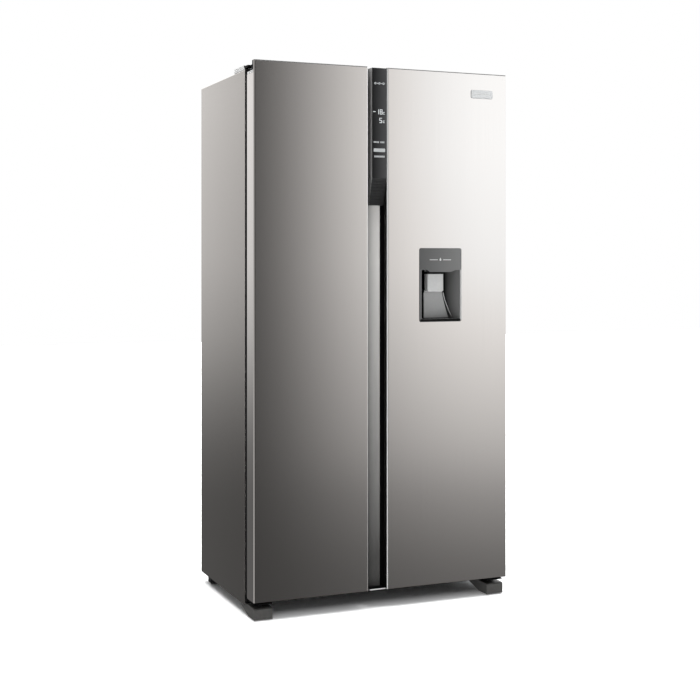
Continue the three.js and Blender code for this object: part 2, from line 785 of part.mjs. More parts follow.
// The recess for a glass narrows towards its back; the paddle's pin turns between two ears.
function dispenserHousing() {
  const { left, right, bottom, header, top, depth, radius } = DISPENSER;
  const outer = prism(roundedRect(bottom, top, left, right, radius), 'y', 0, depth + 3);
  const narrowing = 31;
  const leftWall = hollowWall(left + 8 + narrowing, -narrowing, depth);
  const rightWall = hollowWall(right - 6 - narrowing, narrowing, depth);
  const plan = [[left + 8, -1], [right - 6, -1], ...rightWall, ...leftWall.reverse()];
  const floor = bottom + 9;
  const pocket = prism(plan, 'z', floor, header);
  const service = box(left + 3, right - 3, 3, depth + 9, header + 3, top - 3);
  const lipOutline = [
    [header + 1, 150],
    [header - 7, 164],
    [header - 7, 241],
    [header + 1, 264],
  ];
  const lip = prism(lipOutline, 'y', 0, 12);
  const shroud = roundedRect(NOZZLE.bottom, header + 1, NOZZLE.left, NOZZLE.right, 5);
  const nozzle = prism(shroud, 'y', 14, 38);
  const bridge = box(NOZZLE.left, NOZZLE.right, 14, 38, header - 10, header + 1);
  const ear = (x) => box(x, x + 5, 36, depth + 1, PADDLE.z - 6, PADDLE.z + 6);
  const ears = [ear(PADDLE.left - 5 - GAP), ear(PADDLE.right + 1.5)];
  const grille = [];
  for (let step = 0; step < 5; step += 1) {
    grille.push(box(left + 24, right - 22, 12 + step * 9, 16 + step * 9, floor - 2.5, floor + 3));
  }
  const shell = cut(outer, pocket, service);
  const body = cut(union(shell, lip, nozzle, bridge, ...ears), ...grille);
  return part('dispenser_housing', body, DARK_GREY);
}

// A flat blade that flares to the right towards its lower edge.
function dispenserPaddle() {
  const width = PADDLE.right - PADDLE.left;
  const outline = [
    [-PADDLE.height, 0],
    [0, 0],
  ];
  const steps = 8;
  for (let step = 0; step <= steps; step += 1) {
    const along = step / steps;
    outline.push([-PADDLE.height * along, width + PADDLE.flare * along ** 1.3]);
  }
  const blade = prism(outline, 'y', -2, 2);
  const pin = rod('x', 3.5, 0, width, 0, 0, 20);
  return part('dispenser_paddle', union(blade, pin), DARK_GREY, [PADDLE.left, PADDLE.y, PADDLE.z]);
}

function badgePlate() {
  const { x, z, width, height, thick } = BADGE;
  const outline = roundedRect(-height / 2, height / 2, -width / 2, width / 2, 5);
  return part('badge_plate', prism(outline, 'y', -thick, -0.3), LIGHT_GREY, [x, 0, z]);
}

function doorParts(name) {
  const door = DOORS[name];
  const group = new THREE.Group();
  group.add(doorSkin(name, door), topCap(name, door), gripTrim(name, door));
  group.add(doorLiner(name, door), gasket(name, door));
  door.binLevels.forEach((z, index) => group.add(doorBin(`${name}_door_bin_${index + 1}`, door, z)));
  if (name === 'fridge') {
    group.add(gripFlange(), displayModule(), dispenserHousing(), dispenserPaddle());
    group.add(badgePlate(), waterTank(door));
  }
  return group;
}

// ---- Assembly ----------------------------------------------------------------------------

const FREEZER_LEVELS = [350, 500, 860, 1280];
const FRIDGE_LEVELS = [350, 500, 820, 1140];
const FREEZER_REAR = 503;
const FRIDGE_REAR = 515;

function compartment(name, left, right, levels, rear) {
  const group = new THREE.Group();
  group.add(liner(`${name}_liner`, left, right, levels));
  levels.forEach((z, index) => group.add(shelf(`${name}_shelf_${index + 1}`, left, right, z, rear)));
  group.add(drawer(`${name}_drawer_lower`, left, right, 378, 118, 214));
  group.add(drawer(`${name}_drawer_upper`, left, right, rear - 12, 367, 118));
  return group;
}

const appliance = new THREE.Group();
appliance.position.y = BADGE.thick - DEPTH / 2;
appliance.add(cabinetWrapper(), frontFrame(), chassis(), backPanel());
appliance.add(compartment('freezer', FREEZER_LEFT, FREEZER_RIGHT, FREEZER_LEVELS, FREEZER_REAR));
appliance.add(compartment('fridge', FRIDGE_LEFT, FRIDGE_RIGHT, FRIDGE_LEVELS, FRIDGE_REAR));
appliance.add(evaporatorCover(), airDuct());
appliance.add(compressor(), condenser(), condenserFan(), machineCover(), powerInlet(), rearSpacer());
for (const side of SIDES) {
  appliance.add(footCover(side), levellingFoot(side), bottomHinge(side), topHinge(side));
  appliance.add(hingeCover(side), rearRoller(side));
}
appliance.add(doorParts('freezer'), doorParts('fridge'));

const refrigerator = new THREE.Group();
refrigerator.add(appliance);
export default refrigerator;
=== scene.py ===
"""Looks of the side by side refrigerator, in metres, in the CAD's own frame."""
import math

import bmesh
import bpy
from mathutils import Matrix, Vector


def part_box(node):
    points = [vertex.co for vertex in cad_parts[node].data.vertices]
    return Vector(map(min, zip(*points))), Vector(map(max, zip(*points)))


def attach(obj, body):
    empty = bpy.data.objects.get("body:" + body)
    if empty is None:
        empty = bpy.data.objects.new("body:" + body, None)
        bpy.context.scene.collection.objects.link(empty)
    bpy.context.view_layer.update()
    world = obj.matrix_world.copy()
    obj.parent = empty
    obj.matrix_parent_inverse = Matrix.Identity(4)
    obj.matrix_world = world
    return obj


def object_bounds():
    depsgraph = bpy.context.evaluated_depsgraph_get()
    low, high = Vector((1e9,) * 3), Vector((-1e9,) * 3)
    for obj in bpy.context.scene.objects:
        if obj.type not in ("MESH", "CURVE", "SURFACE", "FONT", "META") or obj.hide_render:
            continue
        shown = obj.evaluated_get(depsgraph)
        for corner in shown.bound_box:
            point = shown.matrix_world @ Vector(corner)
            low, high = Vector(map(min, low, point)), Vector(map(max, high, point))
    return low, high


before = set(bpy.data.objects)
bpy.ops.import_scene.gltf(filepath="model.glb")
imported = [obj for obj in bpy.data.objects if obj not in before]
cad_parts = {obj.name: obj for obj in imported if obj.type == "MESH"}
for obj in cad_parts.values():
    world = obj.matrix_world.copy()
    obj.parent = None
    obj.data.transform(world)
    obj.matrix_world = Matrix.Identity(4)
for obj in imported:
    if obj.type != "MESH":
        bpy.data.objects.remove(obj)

FIRST_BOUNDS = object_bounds()
LOW = Vector(FIRST_BOUNDS[0])
HIGH = Vector(FIRST_BOUNDS[1])
MM = 0.001

# Camera: level, at the left of the front, with a shifted frame.
CAMERA_BACK = 3.962
CAMERA_SIDE = -1.750
CAMERA_HEIGHT = 1.142
CAMERA_YAW = math.radians(23.45)
CAMERA_LENS = 67.42
CAMERA_SENSOR = 36
CAMERA_SHIFT = (-0.0379, -0.125)

# Edges that turn by more than this are rounded and stay crisp in the shading.
SHARP_ANGLE = math.radians(35)
# Nearly all values of a noise texture lie between these two.
NOISE_RANGE = (0.3, 0.7)
# A surface's colour varies in patches that are this much coarser than its grain.
PATCH_SCALE = 0.13


# ---- Node helpers ---------------------------------------------------------------------

def new_material(name):
    """A material, with its nodes, its links and its shader."""
    material = bpy.data.materials.new(name)
    material.use_nodes = True
    nodes = material.node_tree.nodes
    return material, nodes, material.node_tree.links, nodes["Principled BSDF"]


def texture_place(nodes, links, scale=(1, 1, 1)):
    """Object coordinates, stretched along each axis by scale."""
    place = nodes.new("ShaderNodeTexCoord")
    mapping = nodes.new("ShaderNodeMapping")
    mapping.inputs["Scale"].default_value = scale
    links.new(place.outputs["Object"], mapping.inputs["Vector"])
    return mapping.outputs["Vector"]


def noise(nodes, links, vector, scale, detail=3.0):
    """A noise texture's value, about 0.5 on average."""
    node = nodes.new("ShaderNodeTexNoise")
    node.inputs["Scale"].default_value = scale
    node.inputs["Detail"].default_value = detail
    links.new(vector, node.inputs["Vector"])
    return node.outputs["Fac"]


def map_range(nodes, links, value, start, end, low=0.0, high=1.0):
    """Turns start to end into low to high, and holds low and high beyond them."""
    node = nodes.new("ShaderNodeMapRange")
    node.inputs["From Min"].default_value = start
    node.inputs["From Max"].default_value = end
    node.inputs["To Min"].default_value = low
    node.inputs["To Max"].default_value = high
    links.new(value, node.inputs["Value"])
    return node.outputs["Result"]


def spread(nodes, links, value, low, high):
    """Stretches a noise value over low to high."""
    return map_range(nodes, links, value, *NOISE_RANGE, low, high)


def blend_colours(nodes, links, value, dark, light):
    """The dark colour where value is 0, the light one where it is 1."""
    node = nodes.new("ShaderNodeMix")
    node.data_type = "RGBA"
    node.inputs["A"].default_value = (*dark, 1)
    node.inputs["B"].default_value = (*light, 1)
    links.new(value, node.inputs["Factor"])
    return node.outputs["Result"]


def scale_colour(nodes, links, colour, factor):
    """A colour socket times a value socket."""
    node = nodes.new("ShaderNodeVectorMath")
    node.operation = "SCALE"
    links.new(colour, node.inputs[0])
    links.new(factor, node.inputs["Scale"])
    return node.outputs["Vector"]


def split_axes(nodes, links, vector):
    """The X, Y and Z of a vector."""
    node = nodes.new("ShaderNodeSeparateXYZ")
    links.new(vector, node.inputs["Vector"])
    return [node.outputs[axis] for axis in "XYZ"]


def add_bump(nodes, links, shader, height, strength, distance):
    """Fine relief, from a value that stands for the height."""
    node = nodes.new("ShaderNodeBump")
    node.inputs["Strength"].default_value = strength
    node.inputs["Distance"].default_value = distance
    links.new(height, node.inputs["Height"])
    links.new(node.outputs["Normal"], shader.inputs["Normal"])


def shade(colour, factor):
    """A plain colour times a number."""
    return tuple(channel * factor for channel in colour)


# ---- Materials --------------------------------------------------------------------------

def surface(name, colour, roughness, scale, contrast, metallic=0.0, grain=(1, 1, 1),
            rough_range=0.05, bump=0.05, depth=0.0002):
    """A solid material with a fine grain in its colour, roughness and relief."""
    material, nodes, links, shader = new_material(name)
    vector = texture_place(nodes, links, grain)
    fine = noise(nodes, links, vector, scale)
    patches = noise(nodes, links, vector, scale * PATCH_SCALE, detail=2.0)
    tone = spread(nodes, links, patches, 0, 1)
    dark, light = shade(colour, 1 - contrast), shade(colour, 1 + contrast)
    links.new(blend_colours(nodes, links, tone, dark, light), shader.inputs["Base Color"])
    rough = spread(nodes, links, fine, roughness - rough_range, roughness + rough_range)
    links.new(rough, shader.inputs["Roughness"])
    shader.inputs["Metallic"].default_value = metallic
    add_bump(nodes, links, shader, fine, bump, depth)
    return material


def see_through(name, colour, roughness, alpha_low, alpha_high):
    """Clear or frosted plastic and glass: a thin, faintly uneven, tinted sheet."""
    material, nodes, links, shader = new_material(name)
    uneven = noise(nodes, links, texture_place(nodes, links), 25.0)
    tone = spread(nodes, links, uneven, 0, 1)
    colours = blend_colours(nodes, links, tone, shade(colour, 0.94), colour)
    links.new(colours, shader.inputs["Base Color"])
    rough = spread(nodes, links, uneven, roughness, roughness + 0.06)
    links.new(rough, shader.inputs["Roughness"])
    alpha = spread(nodes, links, uneven, alpha_low, alpha_high)
    links.new(alpha, shader.inputs["Alpha"])
    shader.inputs["Specular IOR Level"].default_value = 0.6
    return material


def glowing(name, colour, low, high):
    """Printed or lit marks, with a slightly uneven glow."""
    material, nodes, links, shader = new_material(name)
    fine = noise(nodes, links, texture_place(nodes, links), 900.0)
    shader.inputs["Base Color"].default_value = (*colour, 1)
    shader.inputs["Emission Color"].default_value = (*colour, 1)
    links.new(spread(nodes, links, fine, low, high), shader.inputs["Emission Strength"])
    return material


def matte(name, colour, roughness=0.6, specular=0.12):
    """A dark, nearly shineless plastic or rubber."""
    material = surface(name, colour, roughness, 1200.0, 0.2, rough_range=0.06)
    shader = material.node_tree.nodes["Principled BSDF"]
    shader.inputs["Specular IOR Level"].default_value = specular
    return material


def graded(name, low_x, high_x, dark, light, roughness, specular=0.3, fall=None):
    """A surface with painted light and shade: it gets lighter from one X to another.

    fall, if given, is (low Z, high Z, least): the colour falls to that share of itself
    on the way down from high Z to low Z.
    """
    material, nodes, links, shader = new_material(name)
    place = nodes.new("ShaderNodeTexCoord").outputs["Object"]
    x, _, z = split_axes(nodes, links, place)
    across = map_range(nodes, links, x, low_x, high_x)
    colours = blend_colours(nodes, links, across, dark, light)
    if fall:
        low_z, high_z, least = fall
        share = map_range(nodes, links, z, low_z, high_z, least)
        colours = scale_colour(nodes, links, colours, share)
    links.new(colours, shader.inputs["Base Color"])
    fine = noise(nodes, links, place, 700.0)
    rough = spread(nodes, links, fine, roughness - 0.02, roughness + 0.02)
    links.new(rough, shader.inputs["Roughness"])
    shader.inputs["Specular IOR Level"].default_value = specular
    add_bump(nodes, links, shader, fine, 0.02, 0.00003)
    return material


# Metals and painted sheet.
STEEL = surface("brushed_steel", (0.807, 0.768, 0.7385), 0.085, 1.0, 0.008, metallic=1.0,
                grain=(2600, 2600, 12), rough_range=0.01, bump=0.01, depth=0.00001)
# Painted highlights for the rounded skin edges at the finger groove: a lighter steel, and a flat grey
# that shows as an even bright strip.
EDGE_HIGHLIGHT_STEEL = surface("folded_edge_painted_highlight", (0.92, 0.88, 0.86), 0.3, 900.0, 0.01, metallic=0.94,
                     rough_range=0.02, bump=0.02, depth=0.00003)
EDGE_HIGHLIGHT_GREY = surface("edge_painted_highlight", (0.42, 0.42, 0.415), 0.45, 900.0, 0.01,
                     rough_range=0.02, bump=0.02, depth=0.00003)
SIDE_PAINT = surface("side_paint", (0.390, 0.363, 0.338), 0.13, 700.0, 0.012, metallic=1.0,
                     rough_range=0.02, bump=0.02, depth=0.00002)
# Near black paint, partly painted shade: it darkens the door gaps, the liners' outer sides, the groove
# and the chassis.
FRAME_PAINT_AND_SHADE = matte("frame_paint_and_painted_shade", (0.014, 0.014, 0.0145), 0.5, 0.10)
ZINC = surface("zinc_sheet", (0.45, 0.46, 0.47), 0.42, 420.0, 0.06, metallic=0.8,
               rough_range=0.06, bump=0.04)
BADGE = surface("badge_metal", (0.70, 0.70, 0.695), 0.3, 1.0, 0.02, metallic=0.8,
                grain=(4, 900, 900), rough_range=0.04, bump=0.02)
TRIM = surface("shelf_trim", (0.75, 0.76, 0.77), 0.22, 1.0, 0.03, metallic=0.9,
               grain=(3, 600, 600), rough_range=0.04, bump=0.02)
MOTOR = surface("compressor_paint", (0.015, 0.015, 0.016), 0.3, 220.0, 0.2,
                rough_range=0.06, bump=0.08)

# Plastics and rubber.
WHITE = surface("white_liner", (0.63, 0.64, 0.64), 0.28, 300.0, 0.012,
                rough_range=0.04, bump=0.03, depth=0.0001)
BLACK = surface("black_plastic", (0.010, 0.010, 0.010), 0.45, 1200.0, 0.2,
                rough_range=0.06, bump=0.06, depth=0.0001)
DARK_GREY = surface("dark_grey_plastic", (0.085, 0.085, 0.086), 0.36, 1400.0, 0.06,
                    metallic=0.1, bump=0.06, depth=0.00008)
MID_GREY = surface("mid_grey_plastic", (0.105, 0.105, 0.104), 0.42, 1400.0, 0.04)
PANEL_GREY = surface("panel_grey_plastic", (0.23, 0.23, 0.228), 0.42, 1400.0, 0.03)
NOZZLE_GREY = surface("nozzle_grey_plastic", (0.33, 0.33, 0.327), 0.4, 900.0, 0.03)
LIGHT_GREY = surface("light_grey_plastic", (0.42, 0.42, 0.415), 0.4, 900.0, 0.03)
FOOT_GREY = surface("foot_grey_plastic", (0.06, 0.058, 0.055), 0.4, 1200.0, 0.08, bump=0.06)
GROOVE_BLACK = matte("groove_black", (0.003, 0.003, 0.003))
RAMP_BLACK = matte("ramp_black", (0.017, 0.017, 0.017), 0.5, 0.15)
RUBBER = matte("gasket_rubber", (0.010, 0.010, 0.0105), 0.65, 0.08)

# Clear sheets and lit marks.
CLEAR = see_through("clear_plastic", (0.86, 0.92, 0.94), 0.08, 0.24, 0.34)
FROST = see_through("frosted_plastic", (0.9, 0.93, 0.94), 0.35, 0.62, 0.74)
PANE = see_through("shelf_glass", (0.72, 0.86, 0.83), 0.03, 0.2, 0.26)
WATER = see_through("tank_plastic", (0.55, 0.6, 0.64), 0.12, 0.6, 0.7)
LAMP = glowing("lamp_cover", (1.0, 0.98, 0.94), 2.2, 2.6)
MARK = glowing("display_marks", (0.48, 0.495, 0.5), 0.36, 0.46)
DIM_MARK = glowing("dim_marks", (0.25, 0.257, 0.26), 0.28, 0.4)


# ---- Mesh helpers -----------------------------------------------------------------------

def soften(piece, width, segments=3):
    """Rounds a piece's sharp edges and shades it smoothly."""
    weld = piece.modifiers.new("weld", "WELD")
    weld.merge_threshold = 0.01 * MM
    bevel = piece.modifiers.new("bevel", "BEVEL")
    bevel.width = width
    bevel.segments = segments
    bevel.limit_method = "ANGLE"
    bevel.angle_limit = SHARP_ANGLE
    bevel.harden_normals = True


def smooth_faces(mesh):
    """Smooth shading that stays crisp at sharp edges."""
    for polygon in mesh.polygons:
        polygon.use_smooth = True
    mesh.set_sharp_from_angle(angle=SHARP_ANGLE)


def dress(node, material, width=None, segments=2):
    """Gives a CAD node its material and, if asked, rounded edges."""
    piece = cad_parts[node]
    piece.data.materials.clear()
    piece.data.materials.append(material)
    smooth_faces(piece.data)
    if width:
        soften(piece, width, segments)
    even = piece.modifiers.new("even_normals", "WEIGHTED_NORMAL")
    even.keep_sharp = True


def paint(node, material, chosen):
    """Gives another material to the faces that chosen(centre, normal) picks."""
    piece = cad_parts[node]
    piece.data.materials.append(material)
    index = len(piece.data.materials) - 1
    for face in piece.data.polygons:
        if chosen(piece.matrix_world @ face.center, face.normal):
            face.material_index = index


def finish_piece(name, builder, material, body, width=None):
    """Makes a named piece from the builder's mesh, riding on a body."""
    mesh = bpy.data.meshes.new(name)
    builder.to_mesh(mesh)
    builder.free()
    piece = bpy.data.objects.new(name, mesh)
    bpy.context.scene.collection.objects.link(piece)
    mesh.materials.append(material)
    smooth_faces(mesh)
    if width:
        soften(piece, width)
    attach(piece, body)


def add_box(builder, low, high):
    """One box between two corners."""
    middle = (Vector(low) + Vector(high)) / 2
    size = Vector(high) - Vector(low)
    place = Matrix.Translation(middle) @ Matrix.Diagonal((*size, 1))
    bmesh.ops.create_cube(builder, size=1, matrix=place)


def bridge(builder, ring, after):
    """The faces between two rings with the same number of points."""
    faces = []
    for index in range(len(ring)):
        following = (index + 1) % len(ring)
        corners_in_turn = (ring[following], ring[index], after[index], after[following])
        faces.append(builder.faces.new(corners_in_turn))
    return faces


def add_tube(builder, rings):
    """Skins a row of rings, with a face at each end."""
    faces = [builder.faces.new(rings[0]), builder.faces.new(list(reversed(rings[-1])))]
    for ring, after in zip(rings, rings[1:]):
        faces += bridge(builder, ring, after)
    bmesh.ops.recalc_face_normals(builder, faces=faces)


def add_prism(builder, outline, to_point, start, end):
    """Extrudes a 2D outline; to_point turns (a, b, along) into x, y, z."""
    rings = []
    for along in (start, end):
        rings.append([builder.verts.new(to_point(a, b, along)) for a, b in outline])
    add_tube(builder, rings)


def arc(centre_a, centre_b, radius, start, end, steps):
    """Points on an arc between two angles in degrees."""
    points = []
    for step in range(steps + 1):
        angle = math.radians(start + (end - start) * step / steps)
        points.append((centre_a + radius * math.cos(angle), centre_b + radius * math.sin(angle)))
    return points


def circle(centre_a, centre_b, radius, sides):
    """The corners of a polygon that stands for a circle."""
    return arc(centre_a, centre_b, radius, 0, 360 - 360 / sides, sides - 1)


def rounded_outline(a0, a1, b0, b1, radius, steps=8):
    """A rectangle with round corners."""
    return (arc(a1 - radius, b0 + radius, radius, -90, 0, steps)
            + arc(a1 - radius, b1 - radius, radius, 0, 90, steps)
            + arc(a0 + radius, b1 - radius, radius, 90, 180, steps)
            + arc(a0 + radius, b0 + radius, radius, 180, 270, steps))


# For add_prism: the axis that an outline is extruded along.
def along_z(a, b, c):
    return Vector((a, b, c))


def along_x(a, b, c):
    return Vector((c, a, b))


def along_y(a, b, c):
    return Vector((a, c, b))


# ---- Sizes taken from the CAD --------------------------------------------------------------

def corners(node):
    """A CAD node's lowest and highest corner."""
    low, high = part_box(node)
    return Vector(low), Vector(high)


FREEZER_LOW, FREEZER_HIGH = corners("freezer_door_skin")
FRIDGE_LOW, FRIDGE_HIGH = corners("fridge_door_skin")
DISPLAY_LOW, DISPLAY_HIGH = corners("display_module")
HOUSING_LOW, HOUSING_HIGH = corners("dispenser_housing")
PADDLE_LOW, PADDLE_HIGH = corners("dispenser_paddle")
BADGE_LOW, BADGE_HIGH = corners("badge_plate")
FLANGE_LEFT = corners("grip_flange")[0].x
DISPLAY_MIDDLE = (DISPLAY_LOW.x + DISPLAY_HIGH.x) / 2
HOUSING_MIDDLE = (HOUSING_LOW.x + HOUSING_HIGH.x) / 2

# The doors' front plane, and the thickness of marks printed on it.
FRONT = FREEZER_LOW.y
PRINT_FRONT = FRONT - 0.0002
PRINT_BACK = FRONT + 0.0004
# The dispenser's header ends here and its recess begins.
HEADER_BOTTOM = HOUSING_HIGH.z - 0.073
# The light rear half of each hinge cover begins here.
COVER_SPLIT = FRONT + 0.109

# Painted reflection: the display's black glass lightens towards the right.
DISPLAY_GLASS = graded("display_glass", DISPLAY_LOW.x, DISPLAY_HIGH.x, (0.002, 0.002, 0.002),
                       (0.040, 0.040, 0.041), 0.17, 0.15)
# Painted shade: the flange is darker towards its left, where the freezer door shades it, and darker
# towards the bottom.
FLANGE_PAINTED_SHADE = graded("satin_flange_painted_shade", FLANGE_LEFT, FLANGE_LEFT + 0.048, (0.155, 0.152, 0.147),
                      (0.66, 0.65, 0.63), 0.4, 0.2, fall=(0.16, 1.14, 0.15))
# Painted shade: the dispenser recess is black at its left and lighter towards its right wall.
RECESS_WALL = graded("recess_wall", PADDLE_LOW.x + 0.087, HOUSING_HIGH.x - 0.004,
                     (0.001, 0.001, 0.001), (0.15, 0.15, 0.149), 0.5, 0.06)
# Painted light: the dispenser header lightens towards the right.
HEADER_GREY = graded("header_grey", HOUSING_LOW.x, HOUSING_HIGH.x, (0.055, 0.055, 0.055),
                     (0.115, 0.115, 0.114), 0.42)


# ---- Cabinet --------------------------------------------------------------------------------

def dress_cabinet():
    """Materials and edge radii of the cabinet and what is fixed to it."""
    dress("cabinet_wrapper", SIDE_PAINT, 0.4 * MM)
    # Partly painted shade: the front frame is near black so the gap between doors and cabinet reads
    # shaded.
    dress("front_frame", FRAME_PAINT_AND_SHADE)
    # Painted shade: the chassis is near black so it throws little light down onto the floor under the
    # doors.
    dress("chassis_plate", FRAME_PAINT_AND_SHADE, 0.3 * MM)
    dress("back_panel", ZINC, 0.3 * MM)
    dress("machine_cover", ZINC, 0.3 * MM)
    dress("rear_spacer", BLACK, 1.5 * MM, 3)
    dress("power_inlet", BLACK, 0.5 * MM)
    dress("compressor", MOTOR, 2 * MM, 3)
    dress("condenser", DARK_GREY)
    dress("condenser_fan", BLACK, 0.5 * MM)
    for node in ("freezer_liner", "fridge_liner"):
        dress(node, WHITE, 2 * MM, 3)
    dress("evaporator_cover", WHITE, 1 * MM)
    dress("fridge_air_duct", WHITE, 1 * MM)
    for side in ("left", "right"):
        dress("foot_cover_" + side, FOOT_GREY, 0.9 * MM, 3)
        dress("levelling_foot_" + side, BLACK, 1 * MM)
        dress("rear_roller_" + side, BLACK, 1 * MM)
        dress("bottom_hinge_" + side, GROOVE_BLACK, 0.6 * MM)
        dress("top_hinge_" + side, ZINC, 0.6 * MM)
        cover = "hinge_cover_" + side
        dress(cover, GROOVE_BLACK, 1 * MM, 3)
        paint(cover, LIGHT_GREY, lambda centre, normal: centre.y > COVER_SPLIT)
        # Painted shade: the tops of the light rear halves get a darker grey than their sides.
        paint(cover, PANEL_GREY, lambda centre, normal: centre.y > COVER_SPLIT and normal.z > 0.5)


def add_lamps():
    """A flat lamp in the ceiling of each compartment, with a white rim."""
    half_width, depth, corner = 0.07, 0.09, 0.012
    liner_wall, behind_front = 0.0025, 0.11
    for side in ("freezer", "fridge"):
        low, high = corners(side + "_liner")
        middle = (low.x + high.x) / 2
        ceiling = high.z - liner_wall
        front = low.y + behind_front
        for name, grow, drop, material in (
                ("lamp_rim", 0.008, 0.003, WHITE), ("lamp", 0.0, 0.0042, LAMP)):
            builder = bmesh.new()
            outline = rounded_outline(middle - half_width - grow, middle + half_width + grow,
                                      front - grow, front + depth + grow, corner + grow)
            add_prism(builder, outline, along_z, ceiling - drop, ceiling - 0.0003)
            finish_piece(side + "_" + name, builder, material, "cabinet", 0.6 * MM)


def add_screws():
    """Rows of pan head screws that hold the back panel and the machine cover."""
    count, lowest, pitch = 5, 0.36, 0.335
    panel_inset, cover_inset, cover_margin = 0.02, 0.03, 0.014
    flange, head, slot_half_length, slot_half_width = 0.0052, 0.0034, 0.0024, 0.0005
    low, high = corners("back_panel")
    cover_low, cover_high = corners("machine_cover")
    span = cover_high.x - cover_low.x - 2 * cover_inset
    spots = []
    for step in range(count):
        z = lowest + step * pitch
        spots += [(low.x + panel_inset, high.y, z), (high.x - panel_inset, high.y, z)]
    for step in range(count):
        x = cover_low.x + cover_inset + step * span / (count - 1)
        spots += [(x, cover_high.y, cover_low.z + cover_margin),
                  (x, cover_high.y, cover_high.z - cover_margin)]
    builder = bmesh.new()
    for x, y, z in spots:
        add_prism(builder, circle(x, z, flange, 16), along_y, y - 0.0015, y + 0.0008)
        add_prism(builder, circle(x, z, head, 16), along_y, y + 0.0006, y + 0.0017)
        add_box(builder, (x - slot_half_length, y + 0.0012, z - slot_half_width),
                (x + slot_half_length, y + 0.0021, z + slot_half_width))
    finish_piece("back_screws", builder, ZINC, "cabinet")


def add_rating_plate():
    """A blank silver plate with ruled lines, low on the back."""
    left, right, bottom, top = 0.18, 0.29, 0.42, 0.50
    margin, line_height, line_pitch = 0.008, 0.0012, 0.016
    back = corners("back_panel")[1].y
    builder = bmesh.new()
    outline = rounded_outline(left, right, bottom, top, 0.004)
    add_prism(builder, outline, along_y, back - 0.001, back + 0.0004)
    finish_piece("rating_plate", builder, TRIM, "cabinet", 0.2 * MM)
    builder = bmesh.new()
    for step in range(4):
        z = bottom + 0.013 + step * line_pitch
        add_box(builder, (left + margin, back + 0.0002, z),
                (right - margin, back + 0.0007, z + line_height))
    finish_piece("rating_lines", builder, DARK_GREY, "cabinet", 0.1 * MM)


# ---- Doors ------------------------------------------------------------------------------------

def dress_doors():
    """Materials and edge radii of the two doors and what is fixed to them."""
    # Painted shade: the liners' outer sides are near black so the gap beside the cabinet reads shaded.
    # The top caps are black on their outer sides.
    side = max(abs(FREEZER_LOW.x), FRIDGE_HIGH.x) - 0.003
    for door in ("freezer", "fridge"):
        dress(door + "_door_skin", STEEL, 0.25 * MM)
        dress(door + "_door_liner", WHITE, 2 * MM, 3)
        paint(door + "_door_liner", FRAME_PAINT_AND_SHADE, lambda centre, normal: abs(centre.x) > side)
        dress(door + "_door_gasket", RUBBER, 1.5 * MM, 3)
        dress(door + "_door_top_cap", DARK_GREY, 0.8 * MM)
        paint(door + "_door_top_cap", GROOVE_BLACK, lambda centre, normal: abs(centre.x) > side)
        dress(door + "_grip_trim", GROOVE_BLACK, 0.5 * MM)
    dress_door_folds()
    dress("grip_flange", FLANGE_PAINTED_SHADE, 0.4 * MM)
    dress("display_module", RAMP_BLACK, 0.4 * MM)
    paint("display_module", PANEL_GREY, lambda centre, normal: normal.x < -0.9)
    paint("display_module", DISPLAY_GLASS, lambda centre, normal: centre.y < FRONT + 0.0005)
    dress("dispenser_housing", RECESS_WALL, 0.6 * MM)
    paint("dispenser_housing", HEADER_GREY, on_header)
    paint("dispenser_housing", NOZZLE_GREY, on_nozzle)
    # Painted light: the nozzle block's left side gets a lighter grey than its front.
    paint("dispenser_housing", LIGHT_GREY, on_lit_nozzle_side)
    dress("dispenser_paddle", PANEL_GREY, 0.6 * MM)
    dress("badge_plate", BADGE, 0.4 * MM)
    dress("water_tank", WATER, 2 * MM, 3)


def dress_door_folds():
    """The folds of the two skins on either side of the finger groove: a painted highlight on the
    freezer skin's rounded edge and side and on the fridge skin's rounded edge, and painted shade on
    the fridge skin's side inside the groove.
    """
    fold = 0.006
    fridge_fold = FRIDGE_LOW.x + fold
    freezer_fold = FREEZER_HIGH.x - fold
    paint("fridge_door_skin", EDGE_HIGHLIGHT_GREY,
          lambda centre, normal: centre.x < fridge_fold and -0.88 < normal.x < -0.2)
    paint("fridge_door_skin", FRAME_PAINT_AND_SHADE,
          lambda centre, normal: centre.x < fridge_fold and normal.x < -0.88)
    paint("freezer_door_skin", EDGE_HIGHLIGHT_STEEL,
          lambda centre, normal: centre.x > freezer_fold and normal.x > 0.2)


def on_header(centre, normal):
    """Whether a face of the dispenser's housing is its flat front."""
    return normal.y < -0.9 and centre.y < FRONT + 0.001


def on_nozzle(centre, normal):
    """Whether a face of the dispenser's housing is on the nozzle block."""
    inside = FRONT + 0.0135 < centre.y < FRONT + 0.0385
    across = PADDLE_LOW.x < centre.x < PADDLE_LOW.x + 0.061
    return inside and across and centre.z < HEADER_BOTTOM


# Whether a face is on the nozzle block's left side, which is painted lighter as painted light.
def on_lit_nozzle_side(centre, normal):
    return on_nozzle(centre, normal) and normal.x < -0.5


def add_top_lips():
    """The dark edge along the top of each door's front."""
    height, inset = 0.0030, 0.0035
    for door, low, high in (
            ("freezer", FREEZER_LOW, FREEZER_HIGH), ("fridge", FRIDGE_LOW, FRIDGE_HIGH)):
        builder = bmesh.new()
        outline = [(FRONT - 0.0002, high.z - height), (FRONT + 0.0012, high.z - height),
                   (FRONT + 0.0012, high.z - 0.0001), (FRONT + 0.0002, high.z),
                   (FRONT - 0.0002, high.z - 0.0006)]
        add_prism(builder, outline, along_x, low.x + inset, high.x - inset)
        finish_piece(door + "_top_lip", builder, MID_GREY, door + "_door",
                     0.1 * MM)


